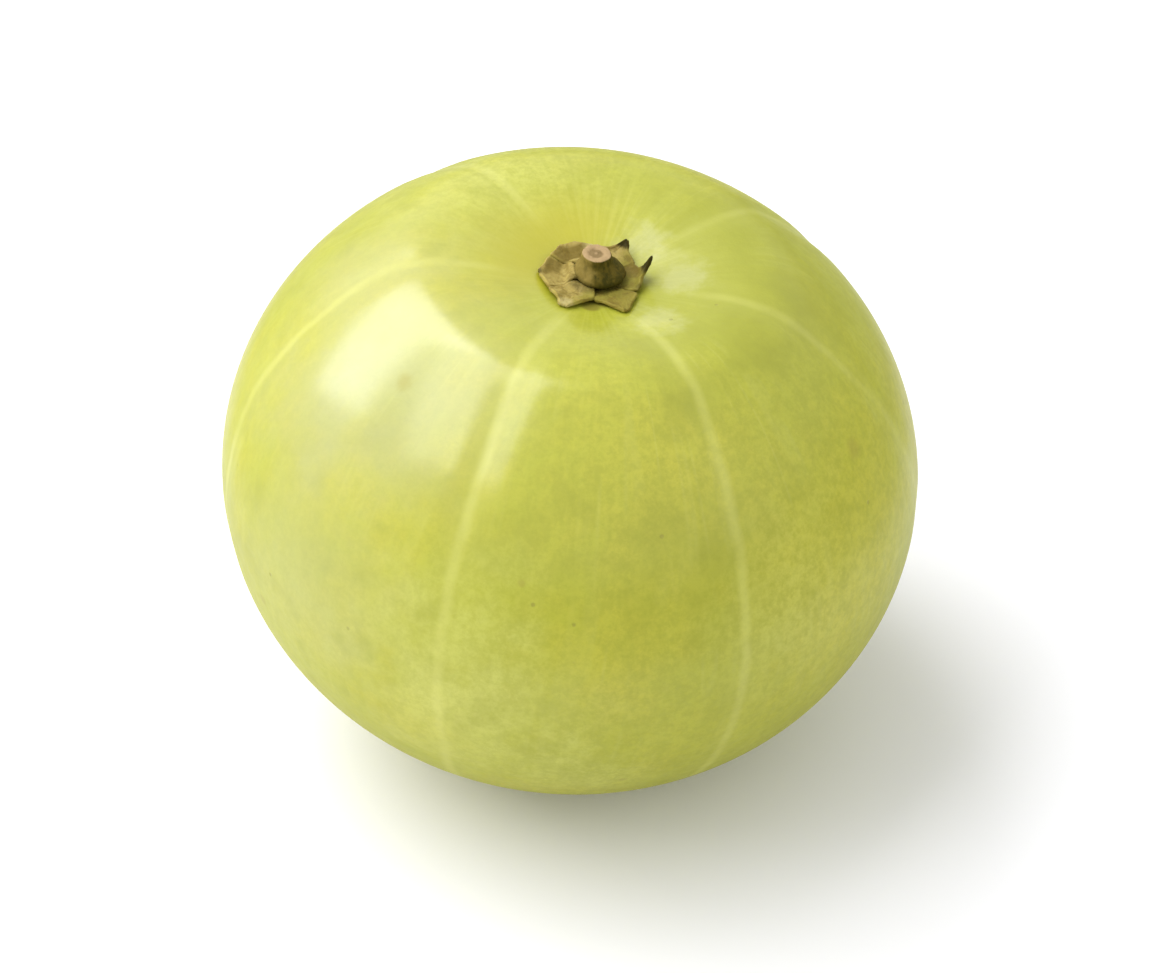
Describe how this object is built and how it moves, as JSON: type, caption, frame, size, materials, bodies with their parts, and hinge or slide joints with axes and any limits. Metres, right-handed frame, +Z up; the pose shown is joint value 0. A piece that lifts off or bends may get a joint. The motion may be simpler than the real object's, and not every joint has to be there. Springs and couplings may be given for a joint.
{
  "type": "indian gooseberry fruit",
  "caption": "Whole round green-yellow berry-like fruit, slightly flattened, with faint pale meridian lines, a dry calyx and a short stalk stub, resting on a small flat spot.",
  "frame": {"origin": "centre of the small flat spot that the fruit rests on", "axes": "+Z up from the surface that the fruit rests on, +X towards the side that the growth axis leans to (5.4 degrees), +Y away from the side seen in front"},
  "size_m": [0.0379, 0.038, 0.0314],
  "materials": {
    "fruit_skin": "waxy semi-gloss green-yellow skin with pale meridian lines",
    "stalk_wood": "dry matt brown",
    "calyx": "dry matt tan"
  },
  "bodies": {
    "root": {"fruit_body": "fruit_skin", "stalk": "stalk_wood", "sepal_1": "calyx", "sepal_2": "calyx", "sepal_3": "calyx", "sepal_4": "calyx", "sepal_5": "calyx", "sepal_6": "calyx"}
  },
  "joints": []
}
